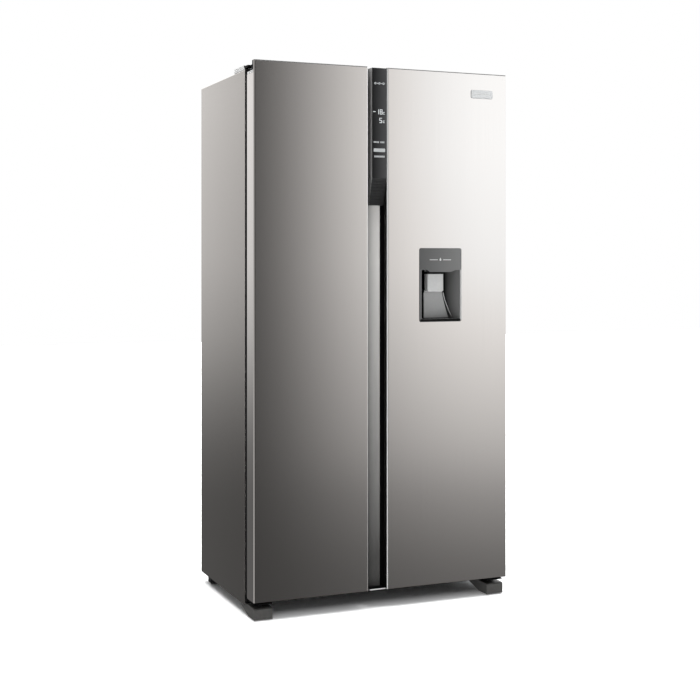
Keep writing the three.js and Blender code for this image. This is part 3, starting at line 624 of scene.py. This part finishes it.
def add_side_ledges():
    """The light band along the top of each door's outer side."""
    top, height, thickness = FREEZER_HIGH.z - 0.0322, 0.0072, 0.0015
    for door, side in (("freezer", FREEZER_LOW.x), ("fridge", FRIDGE_HIGH.x)):
        inward = thickness if side < 0 else -thickness
        x0, x1 = sorted((side - inward * 0.1, side + inward))
        builder = bmesh.new()
        outline = rounded_outline(FRONT + 0.0057, FRONT + 0.0664, top - height, top, 0.0012, 4)
        add_prism(builder, outline, along_x, x0, x1)
        finish_piece(door + "_side_ledge", builder, LIGHT_GREY, door + "_door")


# ---- Display ----------------------------------------------------------------------------------

# The bars of a seven-segment figure that each character lights, from a at the top
# clockwise to f, with g across the middle.
SEGMENTS = {"1": "bc", "5": "afgcd", "8": "abcdefg", "-": "g", "c": "deg"}


def add_mark(builder, x0, x1, z0, z1):
    """A flat printed rectangle."""
    add_box(builder, (x0, PRINT_FRONT, z0), (x1, PRINT_BACK, z1))


def add_figures(builder, text, middle, bottom, height):
    """Numbers in plain seven-segment form."""
    width = height * 0.52
    stroke = height * 0.11
    step = width + stroke * 2
    half = height / 2
    bars = {
        "a": (0, width, height - stroke, height), "d": (0, width, 0, stroke),
        "g": (0, width, half - stroke / 2, half + stroke / 2),
        "b": (width - stroke, width, half, height), "c": (width - stroke, width, 0, half),
        "f": (0, stroke, half, height), "e": (0, stroke, 0, half)}
    left = middle - (step * len(text) - stroke * 2) / 2
    for character in text:
        for name in SEGMENTS[character]:
            x0, x1, z0, z1 = bars[name]
            add_mark(builder, left + x0, left + x1, bottom + z0, bottom + z1)
        left += step


def add_ring(builder, x, z, outer, inner, sides=20):
    """A flat printed ring."""
    rings = []
    for radius, y in (
            (outer, PRINT_FRONT), (inner, PRINT_FRONT), (inner, PRINT_BACK), (outer, PRINT_BACK)):
        rings.append([builder.verts.new((a, y, b)) for a, b in circle(x, z, radius, sides)])
    faces = []
    for ring, after in zip(rings, rings[1:] + rings[:1]):
        faces += bridge(builder, ring, after)
    bmesh.ops.recalc_face_normals(builder, faces=faces)


def add_display_figures():
    """The two set temperatures with their unit signs, under a row of rings and dashes."""
    top = DISPLAY_HIGH.z
    figure_height, unit_height, unit_along = 0.0165, 0.0125, 0.0155
    ring_drop, ring_pitch, dash_half_width = 0.051, 0.0145, 0.0016
    builder = bmesh.new()
    for text, along, drop in (("-18", -0.006, 0.153), ("5", 0.0045, 0.181)):
        add_figures(builder, text, DISPLAY_MIDDLE + along, top - drop, figure_height)
        add_figures(builder, "c", DISPLAY_MIDDLE + unit_along, top - drop + 0.0005, unit_height)
    for along in (-ring_pitch, 0.0, ring_pitch):
        add_ring(builder, DISPLAY_MIDDLE + along, top - ring_drop, 0.0034, 0.0022)
    for along in (-ring_pitch / 2, ring_pitch / 2):
        x = DISPLAY_MIDDLE + along
        add_mark(builder, x - dash_half_width, x + dash_half_width,
                 top - ring_drop - 0.0008, top - ring_drop + 0.0008)
    finish_piece("display_figures", builder, MARK, "fridge_door")


def add_display_labels():
    """A touch bar between two rows of plain blocks."""
    top = DISPLAY_HIGH.z
    bar_half_width, lower_pitch, lower_count = 0.0205, 0.0047, 8
    builder = bmesh.new()
    bar = rounded_outline(DISPLAY_MIDDLE - bar_half_width, DISPLAY_MIDDLE + bar_half_width,
                          top - 0.277, top - 0.2655, 0.0025)
    add_prism(builder, bar, along_y, PRINT_FRONT, PRINT_BACK)
    for along in (-0.0185, -0.0135, -0.0085, -0.0035, 0.0055, 0.0105, 0.0155):
        x = DISPLAY_MIDDLE + along
        add_mark(builder, x - 0.0019, x + 0.0019, top - 0.2475, top - 0.2420)
    for step in range(lower_count):
        x = DISPLAY_MIDDLE + (step - (lower_count - 1) / 2) * lower_pitch
        add_mark(builder, x - 0.0018, x + 0.0018, top - 0.2950, top - 0.2890)
    finish_piece("display_labels", builder, DIM_MARK, "fridge_door")


# ---- Dispenser --------------------------------------------------------------------------------

def add_drop_mark():
    """A water drop between two short lines on the dispenser's header."""
    z = HOUSING_HIGH.z - 0.039
    y_low, y_high = FRONT - 0.0003, FRONT + 0.0004
    builder = bmesh.new()
    drop = arc(HOUSING_MIDDLE, z, 0.0034, 150, 390, 12) + [(HOUSING_MIDDLE, z + 0.0075)]
    add_prism(builder, drop, along_y, y_low, y_high)
    for sign in (-1, 1):
        near, far = sorted((HOUSING_MIDDLE + sign * 0.010, HOUSING_MIDDLE + sign * 0.040))
        line = rounded_outline(near, far, z - 0.0010, z + 0.0012, 0.0009)
        add_prism(builder, line, along_y, y_low, y_high)
    finish_piece("dispenser_mark", builder, LIGHT_GREY, "fridge_door")


def add_rib(name, material, near, far, front, rear):
    """A rib beside the paddle that swings outwards on its way down.

    near and far are its two sides, from its own line, and front and rear are depths.
    """
    steps, gap, swing = 12, 0.071, 0.033
    height = PADDLE_HIGH.z - PADDLE_LOW.z - 0.006
    builder = bmesh.new()
    rows = []
    for step in range(steps + 1):
        along = step / steps
        x = PADDLE_LOW.x + gap + swing * along ** 1.4
        z = PADDLE_HIGH.z - 0.004 - height * along
        row = [(x + near, front), (x + far, front), (x + far, rear), (x + near, rear)]
        rows.append([builder.verts.new((a, FRONT + depth, z)) for a, depth in row])
    add_tube(builder, rows)
    finish_piece(name, builder, material, "fridge_door")


def add_dispenser_edges():
    """The guide rib with a painted highlight along its front, and two upright strips on the frame: a
    painted highlight on its right and painted shade on its left.
    """
    add_rib("dispenser_rib", DARK_GREY, 0, 0.0016, 0.040, 0.0608)
    add_rib("dispenser_rib_highlight", LIGHT_GREY, -0.0001, 0.0018, 0.0392, 0.0405)
    left, right, bottom = HOUSING_LOW.x, HOUSING_HIGH.x, HOUSING_LOW.z + 0.006
    for name, material, x0, x1, rear in (
            ("dispenser_frame_highlight", LIGHT_GREY, right - 0.0030, right - 0.0004, FRONT + 0.0006),
            ("dispenser_left_shade", DARK_GREY, left + 0.0040, left + 0.0092, FRONT + 0.0020)):
        builder = bmesh.new()
        add_box(builder, (x0, PRINT_FRONT, bottom), (x1, rear, HEADER_BOTTOM))
        finish_piece(name, builder, material, "fridge_door", 0.2 * MM)


def add_dispenser_shade():
    """Painted shadow: a black line along the foot of the frame and a black band across the nozzle
    block just under the header.
    """
    inset, nozzle_width = 0.0035, 0.060
    nozzle_left = PADDLE_LOW.x + 0.0012
    builder = bmesh.new()
    foot_shadow = rounded_outline(HOUSING_LOW.x + inset, HOUSING_HIGH.x - inset, HOUSING_LOW.z + 0.001,
                           HOUSING_LOW.z + 0.0088, 0.0035)
    add_prism(builder, foot_shadow, along_y, FRONT - 0.0002, FRONT + 0.0006)
    add_box(builder, (nozzle_left, FRONT + 0.0132, HEADER_BOTTOM - 0.014),
            (nozzle_left + nozzle_width, FRONT + 0.0380, HEADER_BOTTOM - 0.006))
    finish_piece("dispenser_shade", builder, GROOVE_BLACK, "fridge_door",
                 0.2 * MM)


# ---- Other details on the doors ---------------------------------------------------------------

def add_badge_details():
    """A dark rim round the plain badge and an engraved line in it."""
    grow, half_length, half_height = 0.0007, 0.028, 0.0012
    middle = (BADGE_LOW + BADGE_HIGH) / 2
    builder = bmesh.new()
    outline = rounded_outline(BADGE_LOW.x - grow, BADGE_HIGH.x + grow,
                              BADGE_LOW.z - grow, BADGE_HIGH.z + grow, 0.006)
    add_prism(builder, outline, along_y, FRONT - 0.0007, FRONT + 0.0003)
    finish_piece("badge_rim", builder, MID_GREY, "fridge_door", 0.2 * MM)
    builder = bmesh.new()
    line = rounded_outline(middle.x - half_length, middle.x + half_length,
                           middle.z - half_height, middle.z + half_height, 0.0011)
    add_prism(builder, line, along_y, BADGE_LOW.y - 0.0001, BADGE_LOW.y + 0.0004)
    finish_piece("badge_line", builder, LIGHT_GREY, "fridge_door")


def add_groove_foot():
    """The light edge of the moulding that closes the grip groove at its foot."""
    bottom, height = FREEZER_LOW.z - 0.0012, 0.0035
    builder = bmesh.new()
    add_box(builder, (DISPLAY_LOW.x - 0.004, FRONT + 0.0085, bottom),
            (DISPLAY_HIGH.x + 0.0005, FRONT + 0.0115, bottom + height))
    finish_piece("groove_foot", builder, LIGHT_GREY, "fridge_door", 0.4 * MM)


def add_tank_lid():
    """The water tank's white lid, with a filling cap at its left."""
    low, high = corners("water_tank")
    builder = bmesh.new()
    outline = rounded_outline(low.x - 0.002, high.x + 0.002, low.y + 0.001, high.y + 0.002, 0.012)
    add_prism(builder, outline, along_z, high.z - 0.010, high.z + 0.0035)
    cap = rounded_outline(low.x + 0.02, low.x + 0.085, low.y + 0.016, low.y + 0.062, 0.008)
    add_prism(builder, cap, along_z, high.z + 0.0033, high.z + 0.0105)
    finish_piece("water_tank_lid", builder, WHITE, "fridge_door", 1.2 * MM)


# ---- Shelves, drawers and bins ----------------------------------------------------------------

def dress_inside():
    """Glass shelves with metal trims, and drawers and bins with a rail along their rim."""
    front_trim, rear_trim = 0.0135, 0.009
    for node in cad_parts:
        low, high = corners(node)
        if "_shelf_" in node:
            dress(node, PANE, 0.4 * MM)
            paint(node, TRIM, lambda centre, normal: centre.y < low.y + front_trim)
            paint(node, TRIM, lambda centre, normal: centre.y > high.y - rear_trim)
        elif "_drawer_" in node:
            dress(node, FROST, 1 * MM, 3)
            add_rail(node, node, WHITE, (low.x + 0.006, high.x - 0.006),
                     (low.y - 0.0012, low.y + 0.0085), (high.z - 0.0095, high.z + 0.001))
        elif "_bin_" in node:
            dress(node, CLEAR, 1 * MM, 3)
            add_rail(node, node.split("_door")[0] + "_door", TRIM, (low.x + 0.002, high.x - 0.002),
                     (high.y - 0.0055, high.y + 0.0018), (high.z - 0.012, high.z + 0.0012))


def add_rail(node, body, material, x, y, z):
    """A rounded bar along X on a node's rim; x, y and z are pairs, low and high."""
    builder = bmesh.new()
    outline = rounded_outline(*y, *z, (y[1] - y[0]) * 0.4, 5)
    add_prism(builder, outline, along_x, *x)
    finish_piece(node + "_rail", builder, material, body, 0.4 * MM)


# ---- Stage, lights and camera --------------------------------------------------------------

# The walls' brightness by direction, in degrees from the front (-Y) towards +X.
FRONT_WALL = [(-180, 0), (17.5, 0), (18.5, 0.08), (20, 0.24), (22, 0.55), (24, 0.82), (26, 1.05),
              (28, 1.18), (110, 1.18), (150, 0), (180, 0)]
REAR_WALL = [(-180, 1.7), (-170, 1.65), (-165, 1.24), (-162, 0.78), (-150, 0.4), (-135, 0),
             (130, 0), (160, 1.4), (180, 1.6)]
LEFT_WALL = [(-180, 0), (-142, 0), (-118, 0.5), (-60, 0.5), (-35, 0), (180, 0)]
# The walls fade towards the floor, by elevation in degrees.
FRONT_FADE = [(-90, 0.05), (-14, 0.07), (-12.5, 0.11), (-10, 0.23), (-8, 0.42), (-6, 0.55),
              (-3, 0.73), (0, 0.9), (5, 1.0), (90, 1.0)]
REAR_FADE = [(-90, 0.06), (-12, 0.08), (-10, 0.09), (-8, 0.15), (-6, 0.28), (-3, 0.55),
             (0, 0.76), (5, 0.93), (7, 1.0), (90, 1.0)]
# A colour ramp holds values up to 1, so a wall's brightness is divided by this inside it.
BRIGHTEST = 2.0
# The dim light from everywhere.
AMBIENT = 0.055
# The front wall's light turns from white to this slightly cool one in this range of brightness.
COOL_LIGHT = (0.975, 1.009, 1.034)
COOL_RANGE = (0.85, 1.05)


def ramp(nodes, stops):
    """A colour ramp of greys; stops are (place, value)."""
    node = nodes.new("ShaderNodeValToRGB")
    node.color_ramp.interpolation = "LINEAR"
    elements = node.color_ramp.elements
    while len(elements) < len(stops):
        elements.new(0.5)
    for element, (place, value) in zip(elements, stops):
        element.position = place
        element.color = (value, value, value, 1)
    return node


def math_node(nodes, links, operation, first, second=None):
    """One arithmetic step on sockets or plain numbers."""
    node = nodes.new("ShaderNodeMath")
    node.operation = operation
    for index, value in enumerate((first, second)):
        if value is None:
            continue
        if isinstance(value, (int, float)):
            node.inputs[index].default_value = value
        else:
            links.new(value, node.inputs[index])
    return node.outputs["Value"]


def studio_light(nodes, links):
    """The light by direction: bright walls at the front right and at the rear, dark straight ahead."""
    place = nodes.new("ShaderNodeTexCoord")
    x, y, z = split_axes(nodes, links, place.outputs["Generated"])

    def over_one(angle, whole_turn):
        share = math_node(nodes, links, "DIVIDE", angle, whole_turn)
        return math_node(nodes, links, "ADD", share, 0.5)

    ahead = math_node(nodes, links, "MULTIPLY", y, -1.0)
    turn = over_one(math_node(nodes, links, "ARCTAN2", x, ahead), 2 * math.pi)
    rise = over_one(math_node(nodes, links, "ARCSINE", z), math.pi)

    def by_direction(stops):
        node = ramp(nodes, [(angle / 360 + 0.5, value / BRIGHTEST) for angle, value in stops])
        links.new(turn, node.inputs["Fac"])
        return math_node(nodes, links, "MULTIPLY", node.outputs["Color"], BRIGHTEST)

    def by_height(stops):
        node = ramp(nodes, [(angle / 180 + 0.5, value) for angle, value in stops])
        links.new(rise, node.inputs["Fac"])
        return node.outputs["Color"]

    front = math_node(nodes, links, "MULTIPLY", by_direction(FRONT_WALL), by_height(FRONT_FADE))
    rear = math_node(nodes, links, "MULTIPLY", by_direction(REAR_WALL), by_height(REAR_FADE))
    others = math_node(nodes, links, "ADD", rear, by_direction(LEFT_WALL))
    others = math_node(nodes, links, "ADD", others, AMBIENT)
    coolness = map_range(nodes, links, front, *COOL_RANGE)
    tint = blend_colours(nodes, links, coolness, (1, 1, 1), COOL_LIGHT)
    whole = nodes.new("ShaderNodeVectorMath")
    links.new(scale_colour(nodes, links, tint, front), whole.inputs[0])
    links.new(others, whole.inputs[1])
    return whole.outputs["Vector"]


def build_world():
    """The studio lights the object, and the camera itself sees white behind it."""
    world = bpy.data.worlds.new("studio")
    bpy.context.scene.world = world
    world.use_nodes = True
    nodes, links = world.node_tree.nodes, world.node_tree.links
    seen = nodes.new("ShaderNodeMix")
    seen.data_type = "RGBA"
    seen.inputs["B"].default_value = (1, 1, 1, 1)
    ray = nodes.new("ShaderNodeLightPath")
    links.new(ray.outputs["Is Camera Ray"], seen.inputs["Factor"])
    links.new(studio_light(nodes, links), seen.inputs["A"])
    links.new(seen.outputs["Result"], nodes["Background"].inputs["Color"])


def floor_paper():
    """Pale paper with painted light: it glows everywhere in front of the appliance, fading out under
    its doors.
    """
    glow, dark_behind, full_ahead = 0.4, FRONT + 0.11, FRONT - 0.06
    material = surface("floor_paper", (0.96, 0.96, 0.96), 0.8, 3.0, 0.004,
                       rough_range=0.03, bump=0.0)
    nodes, links = material.node_tree.nodes, material.node_tree.links
    shader = nodes["Principled BSDF"]
    place = nodes.new("ShaderNodeTexCoord")
    y = split_axes(nodes, links, place.outputs["Object"])[1]
    # Painted light: the glow rises from nothing under the doors to full just in front of them.
    rise = map_range(nodes, links, y, dark_behind, full_ahead, 0.0, glow)
    shader.inputs["Emission Color"].default_value = (1, 1, 1, 1)
    links.new(rise, shader.inputs["Emission Strength"])
    return material


def add_floor():
    """A wide sheet just under the feet."""
    half_size, gap = 14, 0.0005
    builder = bmesh.new()
    bmesh.ops.create_grid(builder, x_segments=8, y_segments=8, size=half_size)
    mesh = bpy.data.meshes.new("floor")
    builder.to_mesh(mesh)
    builder.free()
    floor = bpy.data.objects.new("floor", mesh)
    floor.location.z = LOW.z - gap
    floor.visible_glossy = False
    bpy.context.scene.collection.objects.link(floor)
    mesh.materials.append(floor_paper())


def add_light(name, kind, power):
    """A light that shows in no reflection, with its data."""
    data = bpy.data.lights.new(name, kind)
    data.energy = power
    light = bpy.data.objects.new(name, data)
    light.visible_glossy = False
    bpy.context.scene.collection.objects.link(light)
    return light, data


def add_lights():
    """A broad soft sky and a square soft light from the front left."""
    _, sky = add_light("sky", "SUN", 5.0)
    sky.angle = math.radians(54)
    square, data = add_light("front_light", "AREA", 40)
    data.shape = "RECTANGLE"
    data.size, data.size_y = 3, 3
    square.location = (-2.4, -4.2, 2.6)
    towards = (LOW + HIGH) / 2 - square.location
    square.rotation_euler = towards.to_track_quat("-Z", "Y").to_euler()


def add_camera():
    """The scene's camera, from the values at the top."""
    data = bpy.data.cameras.new("camera")
    data.lens = CAMERA_LENS
    data.sensor_width = CAMERA_SENSOR
    data.shift_x, data.shift_y = CAMERA_SHIFT
    camera = bpy.data.objects.new("camera", data)
    camera.location = (CAMERA_SIDE, FRONT - CAMERA_BACK, CAMERA_HEIGHT)
    camera.rotation_euler = (math.radians(90), 0, -CAMERA_YAW)
    bpy.context.scene.collection.objects.link(camera)
    bpy.context.scene.camera = camera


dress_cabinet()
add_lamps()
add_screws()
add_rating_plate()
dress_doors()
add_top_lips()
add_side_ledges()
add_display_figures()
add_display_labels()
add_drop_mark()
add_dispenser_edges()
add_dispenser_shade()
add_badge_details()
add_groove_foot()
add_tank_lid()
dress_inside()
build_world()
add_floor()
add_lights()
add_camera()
bpy.context.scene.view_settings.view_transform = "Standard"
